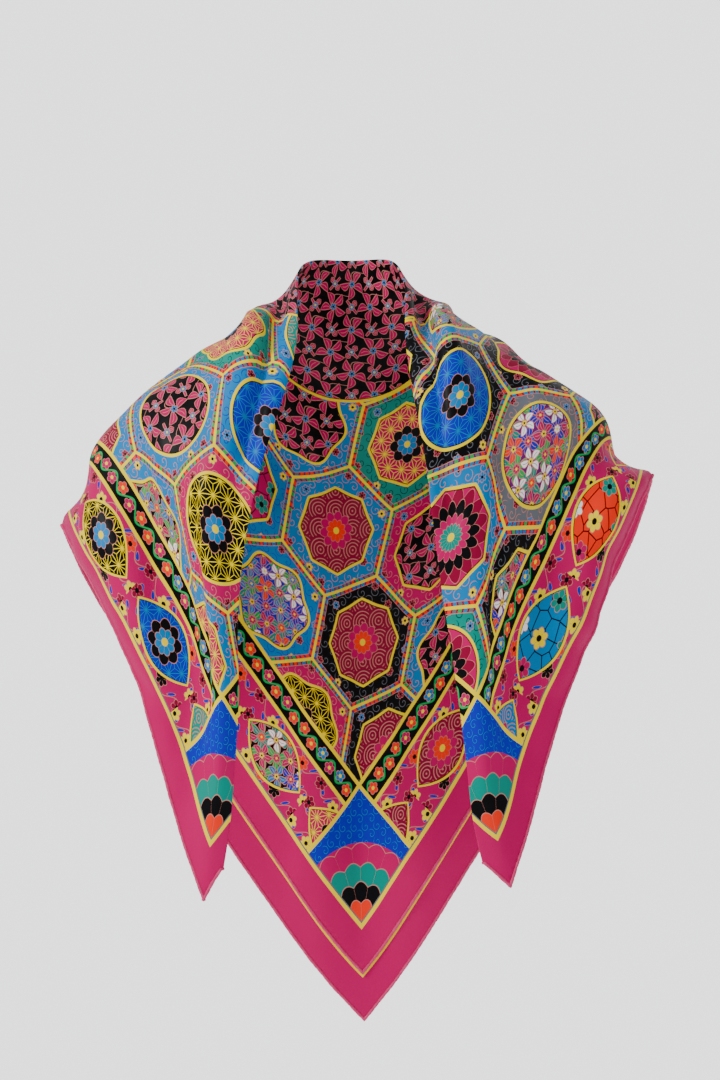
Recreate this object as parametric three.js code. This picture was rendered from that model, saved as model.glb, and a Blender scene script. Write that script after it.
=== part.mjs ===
import * as THREE from 'three';

// A printed silk square, folded corner to corner into two layers and worn over the shoulders.
// Millimetres, +Z up. The wearer faces -Y, and -X is the viewer's left. The origin is inside the
// neck, on its middle line, at the height of the neck's base.

// The square and its fold
const SIDE = 900; // finished edge of the square
const CELLS = 32; // lattice cells from the square's middle to a corner
const CELL = SIDE / Math.SQRT2 / CELLS;
const FOLD_SHIFT = 1; // cells from the diagonal to the fold
const OUTER = CELLS + FOLD_SHIFT; // reach of the outer layer from the fold, in cells
const UNDER = CELLS - FOLD_SHIFT; // reach of the under layer, and of the fold to each side

// The wall
const CLOTH = 1.0; // thickness of one layer
const LAYER_GAP = 1.0; // air between the two layers
const MID = (CLOTH + LAYER_GAP) / 2; // from the middle of the pair to the middle of a layer
const FOLD_STEPS = 4; // facets round the fold
const SEAM = 0.3; // gap between neighbouring pieces
const STRETCH_AT = 10; // cells from the nape to where a front stretch starts

// The rolled hem
const HEM = 3.0; // diameter of the roll
const HEM_SIDES = 8;
const HEM_SEAM = 0.6; // gap between a roll and the cloth, which twist past each other
const HEM_INSET = HEM + HEM_SEAM; // from the finished edge to the cloth's own edge
const UNDER_HEM_DROP = 0.8; // the under hem stands this much further in, clear of the outer layer
const FOLD_CLEAR = HEM / 2 + 2 * SEAM; // from the fold to where a hem's roll starts

// How the square hangs. Each row is a section from the fold to the hem, and at is the number of
// cells along the fold from the nape. The columns are places x, y, z: on the fold, on its first
// turn, over the shoulder or chest, low on the arm or back, and on the hem.
const SECTIONS = [
  { at: -32, fold: [-116, -103, -444], near: [-117, -103, -444],
    over: [-118, -103, -444], low: [-119, -103, -444], hem: [-120, -103, -444] },
  { at: -31, fold: [-102, -103, -419], near: [-107, -109, -420],
    over: [-113, -106, -422], low: [-120, -101, -424], hem: [-127, -94, -423] },
  { at: -28, fold: [-94, -104, -357], near: [-106, -117, -357],
    over: [-117, -90, -353], low: [-133, -98, -347], hem: [-148, -82, -337] },
  { at: -24, fold: [-89, -108, -283], near: [-108, -126, -280],
    over: [-122, -78, -270], low: [-154, -94, -254], hem: [-183, -62, -234] },
  { at: -20, fold: [-90, -112, -203], near: [-114, -130, -194],
    over: [-136, -88, -176], low: [-200, -74, -146], hem: [-236, -8, -142] },
  { at: -18, fold: [-84, -112, -163], near: [-113, -118, -148],
    over: [-146, -86, -124], low: [-216, -26, -104], hem: [-240, 42, -136] },
  { at: -16, fold: [-78, -111, -124], near: [-110, -106, -102],
    over: [-156, -70, -70], low: [-208, 4, -86], hem: [-208, 86, -198] },
  { at: -12, fold: [-56, -86, -52], near: [-98, -58, -6],
    over: [-138, -16, -14], low: [-178, 44, -92], hem: [-148, 108, -300] },
  { at: -8, fold: [-42, -43, 8], near: [-84, -6, 40],
    over: [-110, 34, -2], low: [-120, 84, -92], hem: [-114, 114, -386] },
  { at: -4, fold: [-45, 12, 67], near: [-66, 42, 36],
    over: [-72, 84, -46], low: [-62, 112, -180], hem: [-52, 122, -478] },
  { at: 0, fold: [0, 57, 68], near: [0, 68, 14],
    over: [0, 98, -80], low: [2, 114, -200], hem: [8, 124, -566] },
  { at: 4, fold: [43, 12, 67], near: [66, 42, 38],
    over: [74, 84, -42], low: [70, 112, -176], hem: [66, 122, -470] },
  { at: 8, fold: [42, -45, 5], near: [86, -8, 46],
    over: [114, 32, -6], low: [124, 84, -84], hem: [124, 114, -374] },
  { at: 12, fold: [52, -88, -54], near: [100, -58, 4],
    over: [144, -14, -8], low: [186, 44, -80], hem: [154, 108, -286] },
  { at: 16, fold: [62, -113, -124], near: [108, -104, -90],
    over: [162, -70, -56], low: [216, 4, -66], hem: [216, 80, -172] },
  { at: 18, fold: [66, -114, -164], near: [110, -118, -140],
    over: [152, -84, -110], low: [226, -28, -76], hem: [246, 22, -98] },
  { at: 20, fold: [71, -115, -204], near: [110, -130, -188],
    over: [142, -88, -166], low: [212, -66, -118], hem: [244, -22, -94] },
  { at: 24, fold: [84, -109, -284], near: [108, -128, -278],
    over: [128, -80, -268], low: [162, -92, -246], hem: [191, -62, -227] },
  { at: 28, fold: [94, -105, -358], near: [108, -119, -357],
    over: [120, -92, -352], low: [136, -98, -342], hem: [151, -84, -328] },
  { at: 31, fold: [104, -105, -414], near: [110, -112, -414],
    over: [116, -107, -414], low: [125, -102, -412], hem: [134, -95, -409] },
  { at: 32, fold: [124, -105, -433], near: [125, -105, -433],
    over: [126, -105, -433], low: [127, -105, -433], hem: [128, -105, -433] },
];

// The large folds. from and to are cells along the fold line and away from it, width is in cells,
// and rise is how far the fold stands out, minus for a valley.
const FOLDS = [
  { from: [-6, 2.4], to: [-16, 2.2], width: 1, rise: 7 },
  { from: [-8, 4.6], to: [-21, 3.6], width: 1.2, rise: -11 },
  { from: [-21, 3.4], to: [-28, 2.2], width: 1.2, rise: -6 },
  { from: [5, 2.4], to: [19, 2], width: 1, rise: 8 },
  { from: [8, 4.4], to: [19, 3.8], width: 1.3, rise: -15 },
  { from: [19, 3.8], to: [27, 2.6], width: 1.3, rise: -6 },
  { from: [-9, 6.4], to: [-16, 9.4], width: 1.5, rise: 9 },
  { from: [-16, 9], to: [-24, 7], width: 1.5, rise: 4 },
  { from: [-11, 9.5], to: [-17, 13.5], width: 1.4, rise: -8 },
  { from: [9, 6.4], to: [15, 9.4], width: 1.5, rise: 10 },
  { from: [15, 9], to: [24, 7.4], width: 1.6, rise: 4 },
  { from: [11, 9.5], to: [17, 13.5], width: 1.4, rise: -9 },
  { from: [-2, 8], to: [-3, 27], width: 1.5, rise: -9 },
  { from: [3, 6], to: [4, 26], width: 1.7, rise: -11 },
  { from: [0.5, 9], to: [0.5, 29], width: 1.3, rise: 8 },
  { from: [-6, 7], to: [-8, 23], width: 1.6, rise: 9 },
  { from: [7, 7], to: [9, 22], width: 1.6, rise: 9 },
  { from: [-10, 9], to: [-11, 20], width: 1.5, rise: -9 },
  { from: [11, 8], to: [12, 19], width: 1.6, rise: -9 },
];

// Evening out the lattice, so that its threads keep their length
const EVEN_PASSES = 70;
const PULL = 1.3; // share of each correction, over 1 to settle faster
const THREAD = 1.0; // stiffness along warp and weft, which run along the lattice's diagonals
const BIAS = 0.35; // stiffness across the threads, where twill gives
const BEND = 0.12; // stiffness against sharp bends
const BEND_EASE = 0.06; // share by which two cells may close up before that acts
const KEEP = 0.02; // pull back to the sections
const KEEP_HEM = 0.1; // the same on the front hems
const KEEP_FOLD = 0.6; // the same on the fold
const FRONT_HEM_FROM = 18; // cells from the nape
const SMOOTH_PASSES = 4;

const add = (a, b, k = 1) => [a[0] + k * b[0], a[1] + k * b[1], a[2] + k * b[2]];
const sub = (a, b) => add(a, b, -1);
const dot = (a, b) => a[0] * b[0] + a[1] * b[1] + a[2] * b[2];
const cross = (a, b) => [a[1] * b[2] - a[2] * b[1], a[2] * b[0] - a[0] * b[2], a[0] * b[1] - a[1] * b[0]];
const size = (a) => Math.hypot(a[0], a[1], a[2]);
const unit = (a) => {
  const s = size(a) || 1;
  return [a[0] / s, a[1] / s, a[2] / s];
};
const mix = (a, b, f) => add(a, sub(b, a), f);

// A smooth curve through places at rising values xs, at x
function through(xs, places, x) {
  const last = xs.length - 1;
  let k = 0;
  while (k < last - 1 && x > xs[k + 1]) k += 1;
  const slope = (n) => {
    if (n === 0) return add([0, 0, 0], sub(places[1], places[0]), 1 / (xs[1] - xs[0]));
    if (n === last) return add([0, 0, 0], sub(places[n], places[n - 1]), 1 / (xs[n] - xs[n - 1]));
    const before = xs[n] - xs[n - 1];
    const after = xs[n + 1] - xs[n];
    const one = add([0, 0, 0], sub(places[n], places[n - 1]), after / before / (before + after));
    return add(one, sub(places[n + 1], places[n]), before / after / (before + after));
  };
  const h = xs[k + 1] - xs[k];
  const u = (x - xs[k]) / h;
  const parts = [
    [places[k], 2 * u ** 3 - 3 * u ** 2 + 1],
    [slope(k), h * (u ** 3 - 2 * u ** 2 + u)],
    [places[k + 1], 3 * u ** 2 - 2 * u ** 3],
    [slope(k + 1), h * (u ** 3 - u ** 2)],
  ];
  return parts.reduce((sum, [place, weight]) => add(sum, place, weight), [0, 0, 0]);
}

// The lattice of the outer layer: s cells along the fold, t cells away from it
const lattice = [];
const numberOf = new Map();
const key = (s, t) => s * 100 + t;
for (let t = 0; t <= OUTER; t += 1) {
  for (let s = -CELLS; s <= CELLS; s += 1) {
    if (Math.abs(s) + t <= OUTER && Math.abs(s) - t <= UNDER) {
      numberOf.set(key(s, t), lattice.length);
      lattice.push([s, t]);
    }
  }
}
const at = (s, t) => numberOf.get(key(s, t));

// The places of one section's lattice points, evenly spaced by length along its smooth curve
const SECTION_STEPS = 200;
function sectionPlaces(s) {
  const stations = SECTIONS.map((row) => row.at);
  const columns = ['fold', 'near', 'over', 'low', 'hem'];
  const knots = columns.map((name) => through(stations, SECTIONS.map((row) => row[name]), s));
  const along = [0];
  for (let k = 1; k < knots.length; k += 1) along.push(along[k - 1] + size(sub(knots[k], knots[k - 1])));
  const total = along[along.length - 1];
  const curve = [];
  const run = [0];
  for (let k = 0; k <= SECTION_STEPS; k += 1) {
    curve.push(through(along, knots, (total * k) / SECTION_STEPS));
    if (k > 0) run.push(run[k - 1] + size(sub(curve[k], curve[k - 1])));
  }
  const first = Math.max(0, Math.abs(s) - UNDER);
  const steps = OUTER - Math.abs(s) - first;
  const places = new Map();
  for (let t = first; t <= first + steps; t += 1) {
    const wanted = steps > 0 ? (run[SECTION_STEPS] * (t - first)) / steps : 0;
    let k = 1;
    while (k < SECTION_STEPS && run[k] < wanted) k += 1;
    places.set(t, mix(curve[k - 1], curve[k], (wanted - run[k - 1]) / (run[k] - run[k - 1])));
  }
  return places;
}

// Triangles of the lattice cells in a range of s and up to a reach. The diagonals run with the hems.
function cells(fromS, toS, reach) {
  const found = [];
  const inRange = (s, t) => s >= fromS && s <= toS && t >= 0 && Math.abs(s) + t <= reach;
  const inside = (s, t) => inRange(s, t) && at(s, t) !== undefined;
  for (let t = 0; t < reach; t += 1) {
    for (let s = fromS; s < toS; s += 1) {
      const corners = [[s, t], [s + 1, t], [s + 1, t + 1], [s, t + 1]];
      let order = s < 0 ? [[0, 1, 2], [0, 2, 3]] : [[0, 1, 3], [1, 2, 3]];
      // a tip's first cell is half a cell, cut the other way
      if (t === 0 && s === -CELLS) order = [[1, 2, 3]];
      if (t === 0 && s === UNDER) order = [[0, 2, 3]];
      for (const triple of order) {
        const picked = triple.map((n) => corners[n]);
        if (picked.every(([a, b]) => inside(a, b))) found.push(picked);
      }
    }
  }
  return found;
}

// Unit normals at vertices, from the faces round them
function normalsOf(places, faces) {
  const sums = places.map(() => [0, 0, 0]);
  for (const [a, b, c] of faces) {
    const normal = cross(sub(places[b], places[a]), sub(places[c], places[a]));
    for (const n of [a, b, c]) sums[n] = add(sums[n], normal);
  }
  return sums.map(unit);
}

const outerFaces = cells(-CELLS, CELLS, OUTER).map((face) => face.map(([s, t]) => at(s, t)));

// The sections' surface with the large folds raised on it
function shaped() {
  const bySection = new Map();
  for (let s = -CELLS; s <= CELLS; s += 1) bySection.set(s, sectionPlaces(s));
  const flat = lattice.map(([s, t]) => bySection.get(s).get(t));
  const out = normalsOf(flat, outerFaces);
  return flat.map((place, n) => {
    let rise = 0;
    for (const fold of FOLDS) {
      const run = [fold.to[0] - fold.from[0], fold.to[1] - fold.from[1]];
      const here = [lattice[n][0] - fold.from[0], lattice[n][1] - fold.from[1]];
      const part = (here[0] * run[0] + here[1] * run[1]) / (run[0] ** 2 + run[1] ** 2);
      const u = Math.min(1, Math.max(0, part));
      const away = Math.hypot(here[0] - u * run[0], here[1] - u * run[1]) / fold.width;
      rise += fold.rise * Math.exp(-away * away);
    }
    return add(place, out[n], rise);
  });
}

// Pairs of lattice points that the cloth holds at a distance: step in s, step in t, stiffness
const TIES = [
  { ds: 1, dt: 1, stiffness: THREAD, bend: false },
  { ds: -1, dt: 1, stiffness: THREAD, bend: false },
  { ds: 1, dt: 0, stiffness: BIAS, bend: false },
  { ds: 0, dt: 1, stiffness: BIAS, bend: false },
  { ds: 2, dt: 2, stiffness: BEND, bend: true },
  { ds: -2, dt: 2, stiffness: BEND, bend: true },
  { ds: 2, dt: 0, stiffness: BEND, bend: true },
  { ds: 0, dt: 2, stiffness: BEND, bend: true },
];

function tiesOf() {
  const ties = [];
  for (const kind of TIES) {
    const rest = CELL * Math.hypot(kind.ds, kind.dt);
    lattice.forEach(([s, t], a) => {
      const b = at(s + kind.ds, t + kind.dt);
      if (b !== undefined) ties.push({ a, b, rest, stiffness: kind.stiffness, bend: kind.bend });
    });
  }
  return ties;
}

function evened(start) {
  const ties = tiesOf();
  let places = start;
  const keep = lattice.map(([s, t]) => {
    if (t === 0 || Math.abs(s) === CELLS) return KEEP_FOLD;
    return Math.abs(s) + t === OUTER && Math.abs(s) >= FRONT_HEM_FROM ? KEEP_HEM : 0;
  });
  for (let pass = 0; pass < EVEN_PASSES; pass += 1) {
    const moves = places.map(() => [0, 0, 0]);
    const weights = places.map(() => 0);
    for (const { a, b, rest, stiffness, bend } of ties) {
      const gap = sub(places[b], places[a]);
      const length = size(gap);
      const excess = bend ? Math.min(length - rest * (1 - BEND_EASE), 0) : length - rest;
      if (excess !== 0) {
        const share = (stiffness * excess) / 2 / length;
        moves[a] = add(moves[a], gap, share);
        moves[b] = add(moves[b], gap, -share);
        weights[a] += stiffness;
        weights[b] += stiffness;
      }
    }
    places = places.map((place, n) => {
      const moved = add(place, moves[n], PULL / Math.max(weights[n], 1));
      return mix(mix(moved, start[n], KEEP), start[n], keep[n]);
    });
  }
  return places;
}

// Takes out ripples shorter than two cells. A point of an edge is smoothed along that edge.
function smoothed(places) {
  return places.map((place, n) => {
    const [s, t] = lattice[n];
    const side = Math.sign(s);
    let beside = [[1, 0], [-1, 0], [0, 1], [0, -1]];
    if (Math.abs(s) + t === OUTER) beside = [[side, -1], [-side, 1]];
    else if (t === 0) beside = [[1, 0], [-1, 0]];
    const near = beside.map(([ds, dt]) => at(s + ds, t + dt)).filter((m) => m !== undefined);
    if (s === 0 && t === OUTER) return place;
    if (near.length < beside.length) return place;
    const middle = near.reduce((sum, m) => add(sum, places[m], 1 / near.length), [0, 0, 0]);
    return mix(place, middle, 0.5);
  });
}

let draped = evened(shaped());
for (let pass = 0; pass < SMOOTH_PASSES; pass += 1) draped = smoothed(draped);
const outward = normalsOf(draped, outerFaces);

// The neighbours of a hem point along the edge, with the cloth on the left seen from outside
function alongHem(s, t, reach) {
  const side = Math.sign(s);
  const up = [s - side, t + 1];
  const down = [s + side, t - 1];
  if (s === 0) return [[1, t - 1], [-1, t - 1]];
  if (Math.abs(s) - t === UNDER) {
    const hem = reach === UNDER ? [s - side, t + 1] : [side * CELLS, 1];
    const inner = t === 0 ? [s - side, 0] : [side * UNDER, 2];
    const outer = t === 0 ? hem : [side * UNDER, 0];
    return (t === 0) === side > 0 ? [inner, outer] : [outer, inner];
  }
  return side > 0 ? [down, up] : [up, down];
}

// The way into the cloth from a point of a hem or tip, long enough to lie 1 from the edges that
// meet there, or null inside the cloth
function wayIn(s, t, reach) {
  if (Math.abs(s) + t !== reach && Math.abs(s) - t !== UNDER) return null;
  const n = at(s, t);
  const [before, after] = alongHem(s, t, reach).map(([a, b]) => draped[at(a, b)]);
  const leftOf = (from, to) => unit(cross(outward[n], sub(to, from)));
  const one = leftOf(before, draped[n]);
  const two = leftOf(draped[n], after);
  if (t > 0) return add([0, 0, 0], add(one, two), 1 / (1 + dot(one, two)));
  const alongFold = unit(sub(draped[at(s - Math.sign(s), 0)], draped[n]));
  return add([0, 0, 0], alongFold, 1 / dot(alongFold, s > 0 ? two : one));
}

// The place of a lattice point, drawn in from the finished edge by a distance, along the cloth.
// lift moves it outward, and shift moves it along the fold's direction.
function placeOf(s, t, reach, inset, lift, shift = 0) {
  const n = at(s, t);
  const inward = wayIn(s, t, reach);
  let place = add(draped[n], outward[n], lift);
  if (inward) place = add(place, inward, inset);
  if (shift !== 0) {
    const ahead = at(s + 1, t) ?? n;
    const behind = at(s - 1, t) ?? n;
    place = add(place, unit(sub(draped[ahead], draped[behind])), shift);
  }
  return place;
}

// A closed wall of the cloth's thickness about an open sheet. Each point has a place and a normal.
function wallOf(sheet, faces) {
  const count = sheet.length;
  const points = [
    ...sheet.map(({ place, normal }) => add(place, normal, CLOTH / 2)),
    ...sheet.map(({ place, normal }) => add(place, normal, -CLOTH / 2)),
  ];
  const solid = [];
  const edges = new Set(faces.flatMap(([a, b, c]) => [`${a},${b}`, `${b},${c}`, `${c},${a}`]));
  for (const [a, b, c] of faces) {
    solid.push([a, b, c], [c + count, b + count, a + count]);
    for (const [from, to] of [[a, b], [b, c], [c, a]]) {
      if (!edges.has(`${to},${from}`)) solid.push([from, from + count, to], [to, from + count, to + count]);
    }
  }
  return geometryOf(points, solid);
}

function geometryOf(points, faces) {
  const geometry = new THREE.BufferGeometry();
  geometry.setAttribute('position', new THREE.Float32BufferAttribute(points.flat(), 3));
  geometry.setIndex(faces.flat());
  geometry.computeVertexNormals();
  return geometry;
}

// One stretch of the folded square, both layers and the fold between them, in a range of s
function stretchOf(fromS, toS) {
  const shiftOf = (s) => {
    if (s === fromS && fromS > -CELLS) return SEAM / 2;
    return s === toS && toS < CELLS ? -SEAM / 2 : 0;
  };
  const sheet = [];
  const names = new Map();
  const number = (name, point) => {
    if (!names.has(name)) {
      names.set(name, sheet.length);
      sheet.push(point());
    }
    return names.get(name);
  };
  const outer = ([s, t]) =>
    number(`outer ${s} ${t}`, () => ({
      place: placeOf(s, t, OUTER, HEM_INSET, MID, shiftOf(s)),
      normal: outward[at(s, t)],
    }));
  const under = ([s, t]) =>
    number(`under ${s} ${t}`, () => ({
      place: placeOf(s, t, UNDER, HEM_INSET, -MID, shiftOf(s)),
      normal: add([0, 0, 0], outward[at(s, t)], -1),
    }));
  // round the fold, from the outer layer at step 0 to the under layer
  const round = (s, step) => {
    if (step === 0) return outer([s, 0]);
    if (step === FOLD_STEPS) return under([s, 0]);
    return number(`fold ${s} ${step}`, () => {
      const angle = (Math.PI * step) / FOLD_STEPS;
      const middle = placeOf(s, 0, UNDER, HEM_INSET, 0, shiftOf(s));
      const inward = unit(sub(draped[at(s, 1)], draped[at(s, 0)]));
      const turned = add([0, 0, 0], outward[at(s, 0)], Math.cos(angle));
      const normal = unit(add(turned, inward, -Math.sin(angle)));
      return { place: add(middle, normal, MID), normal };
    });
  };
  const faces = cells(fromS, toS, OUTER).map((face) => face.map(outer));
  for (const face of cells(fromS, toS, UNDER)) faces.push(face.map(under).reverse());
  for (let s = Math.max(fromS, -UNDER); s < Math.min(toS, UNDER); s += 1) {
    for (let step = 0; step < FOLD_STEPS; step += 1) {
      const corners = [round(s, step), round(s, step + 1), round(s + 1, step + 1), round(s + 1, step)];
      faces.push([corners[0], corners[1], corners[2]], [corners[0], corners[2], corners[3]]);
    }
  }
  return wallOf(sheet, faces);
}

// A rolled hem along lattice points, on the outer or the under layer. trim shortens its two ends.
function hemOf(points, reach, lift, trim) {
  const path = points.map(([s, t]) => placeOf(s, t, reach, HEM / 2, lift));
  const out = points.map(([s, t]) => outward[at(s, t)]);
  path[0] = add(path[0], unit(sub(path[1], path[0])), trim[0]);
  const end = path.length - 1;
  path[end] = add(path[end], unit(sub(path[end - 1], path[end])), trim[1]);
  const rings = [];
  path.forEach((place, n) => {
    const ahead = unit(sub(path[Math.min(n + 1, end)], path[Math.max(n - 1, 0)]));
    const across = unit(cross(out[n], ahead));
    const up = cross(ahead, across);
    for (let k = 0; k < HEM_SIDES; k += 1) {
      const angle = (2 * Math.PI * (k + 0.5)) / HEM_SIDES;
      rings.push(add(add(place, across, (HEM / 2) * Math.cos(angle)), up, (HEM / 2) * Math.sin(angle)));
    }
  });
  const faces = [];
  for (let n = 0; n < end; n += 1) {
    for (let k = 0; k < HEM_SIDES; k += 1) {
      const a = n * HEM_SIDES + k;
      const b = n * HEM_SIDES + ((k + 1) % HEM_SIDES);
      faces.push([a, b, a + HEM_SIDES], [b, b + HEM_SIDES, a + HEM_SIDES]);
    }
  }
  for (let k = 1; k < HEM_SIDES - 1; k += 1) {
    faces.push([0, k + 1, k]);
    faces.push([end * HEM_SIDES, end * HEM_SIDES + k, end * HEM_SIDES + k + 1]);
  }
  return geometryOf(rings, faces);
}

const silk = () => new THREE.MeshStandardMaterial({ color: '#b8365f', roughness: 0.45, metalness: 0 });
const hemSilk = () => new THREE.MeshStandardMaterial({ color: '#d0105f', roughness: 0.45, metalness: 0 });

const group = new THREE.Group();
function addNode(name, geometry, material) {
  const mesh = new THREE.Mesh(geometry, material);
  mesh.name = name;
  group.add(mesh);
}

addNode('cloth_left_front', stretchOf(-CELLS, -STRETCH_AT), silk());
addNode('cloth_back', stretchOf(-STRETCH_AT, STRETCH_AT), silk());
addNode('cloth_right_front', stretchOf(STRETCH_AT, CELLS), silk());

// Lattice points along a hem on one side, from the tip to the corner at the back
const hemRun = (side, reach, first) => {
  const points = [];
  for (let s = first; s >= 0; s -= 1) points.push([side * s, reach - s]);
  return points;
};
const underLift = -MID - UNDER_HEM_DROP;
for (const [word, side] of [['left', -1], ['right', 1]]) {
  const clearOfLeft = side > 0 ? HEM_INSET : 0;
  const outerHem = hemOf(hemRun(side, OUTER, CELLS), OUTER, MID, [0, clearOfLeft]);
  const underHem = hemOf(hemRun(side, UNDER, UNDER), UNDER, underLift, [FOLD_CLEAR, clearOfLeft]);
  addNode(`hem_outer_${word}`, outerHem, hemSilk());
  addNode(`hem_under_${word}`, underHem, hemSilk());
  const tip = [[side * CELLS, 1], [side * UNDER, 0]];
  addNode(`hem_tip_${word}`, hemOf(tip, OUTER, MID, [HEM_INSET, FOLD_CLEAR]), hemSilk());
}

export default group;
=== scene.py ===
import math

import bpy
import numpy as np
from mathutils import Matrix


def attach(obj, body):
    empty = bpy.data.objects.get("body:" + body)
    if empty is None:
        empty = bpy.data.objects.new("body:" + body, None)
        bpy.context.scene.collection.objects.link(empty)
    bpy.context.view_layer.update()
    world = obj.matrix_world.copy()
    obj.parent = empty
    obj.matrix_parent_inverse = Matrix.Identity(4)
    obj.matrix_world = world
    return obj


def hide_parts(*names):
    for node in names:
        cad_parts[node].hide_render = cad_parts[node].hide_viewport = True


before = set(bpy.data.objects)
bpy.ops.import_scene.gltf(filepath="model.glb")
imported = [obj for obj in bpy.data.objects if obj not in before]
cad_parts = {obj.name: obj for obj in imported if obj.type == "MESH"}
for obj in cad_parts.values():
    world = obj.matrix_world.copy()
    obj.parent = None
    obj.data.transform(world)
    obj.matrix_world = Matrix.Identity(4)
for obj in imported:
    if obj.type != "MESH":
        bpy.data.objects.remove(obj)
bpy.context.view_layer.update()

# A printed silk square, folded corner to corner and worn over the shoulders. The tables are in
# millimetres, as the solids' own are, and every mesh is made in metres.
MM = 0.001

# The square and its fold
SIDE = 900.0
CELLS = 32
CELL = SIDE / math.sqrt(2) / CELLS
FOLD_SHIFT = 1
OUTER = CELLS + FOLD_SHIFT
UNDER = CELLS - FOLD_SHIFT
LAYER_MID = 0.8  # from the middle of the pair of layers to the middle of one
SHELL = 0.4  # thickness of the visible cloth
FINE = 4  # fine cells to each lattice cell

# Cells along the fold from the nape, then places on the fold, on its first turn, over the
# shoulder or chest, low on the arm or back, and on the hem
SECTIONS = [
    (-32, (-116, -103, -444), (-117, -103, -444), (-118, -103, -444), (-119, -103, -444), (-120, -103, -444)),
    (-31, (-102, -103, -419), (-107, -109, -420), (-113, -106, -422), (-120, -101, -424), (-127, -94, -423)),
    (-28, (-94, -104, -357), (-106, -117, -357), (-117, -90, -353), (-133, -98, -347), (-148, -82, -337)),
    (-24, (-89, -108, -283), (-108, -126, -280), (-122, -78, -270), (-154, -94, -254), (-183, -62, -234)),
    (-20, (-90, -112, -203), (-114, -130, -194), (-136, -88, -176), (-200, -74, -146), (-236, -8, -142)),
    (-18, (-84, -112, -163), (-113, -118, -148), (-146, -86, -124), (-216, -26, -104), (-240, 42, -136)),
    (-16, (-78, -111, -124), (-110, -106, -102), (-156, -70, -70), (-208, 4, -86), (-208, 86, -198)),
    (-12, (-56, -86, -52), (-98, -58, -6), (-138, -16, -14), (-178, 44, -92), (-148, 108, -300)),
    (-8, (-42, -43, 8), (-84, -6, 40), (-110, 34, -2), (-120, 84, -92), (-114, 114, -386)),
    (-4, (-45, 12, 67), (-66, 42, 36), (-72, 84, -46), (-62, 112, -180), (-52, 122, -478)),
    (0, (0, 57, 68), (0, 68, 14), (0, 98, -80), (2, 114, -200), (8, 124, -566)),
    (4, (43, 12, 67), (66, 42, 38), (74, 84, -42), (70, 112, -176), (66, 122, -470)),
    (8, (42, -45, 5), (86, -8, 46), (114, 32, -6), (124, 84, -84), (124, 114, -374)),
    (12, (52, -88, -54), (100, -58, 4), (144, -14, -8), (186, 44, -80), (154, 108, -286)),
    (16, (62, -113, -124), (108, -104, -90), (162, -70, -56), (216, 4, -66), (216, 80, -172)),
    (18, (66, -114, -164), (110, -118, -140), (152, -84, -110), (226, -28, -76), (246, 22, -98)),
    (20, (71, -115, -204), (110, -130, -188), (142, -88, -166), (212, -66, -118), (244, -22, -94)),
    (24, (84, -109, -284), (108, -128, -278), (128, -80, -268), (162, -92, -246), (191, -62, -227)),
    (28, (94, -105, -358), (108, -119, -357), (120, -92, -352), (136, -98, -342), (151, -84, -328)),
    (31, (104, -105, -414), (110, -112, -414), (116, -107, -414), (125, -102, -412), (134, -95, -409)),
    (32, (124, -105, -433), (125, -105, -433), (126, -105, -433), (127, -105, -433), (128, -105, -433)),
]

# Large folds: from (s, t), to (s, t), width in cells, rise in millimetres
FOLDS = [
    ((-6, 2.4), (-16, 2.2), 1.0, 7),
    ((-8, 4.6), (-21, 3.6), 1.2, -11),
    ((-21, 3.4), (-28, 2.2), 1.2, -6),
    ((5, 2.4), (19, 2), 1.0, 8),
    ((8, 4.4), (19, 3.8), 1.3, -15),
    ((19, 3.8), (27, 2.6), 1.3, -6),
    ((-9, 6.4), (-16, 9.4), 1.5, 9),
    ((-16, 9), (-24, 7), 1.5, 4),
    ((-11, 9.5), (-17, 13.5), 1.4, -8),
    ((9, 6.4), (15, 9.4), 1.5, 10),
    ((15, 9), (24, 7.4), 1.6, 4),
    ((11, 9.5), (17, 13.5), 1.4, -9),
    ((-2, 8), (-3, 27), 1.5, -9),
    ((3, 6), (4, 26), 1.7, -11),
    ((0.5, 9), (0.5, 29), 1.3, 8),
    ((-6, 7), (-8, 23), 1.6, 9),
    ((7, 7), (9, 22), 1.6, 9),
    ((-10, 9), (-11, 20), 1.5, -9),
    ((11, 8), (12, 19), 1.6, -9),
]

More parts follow.
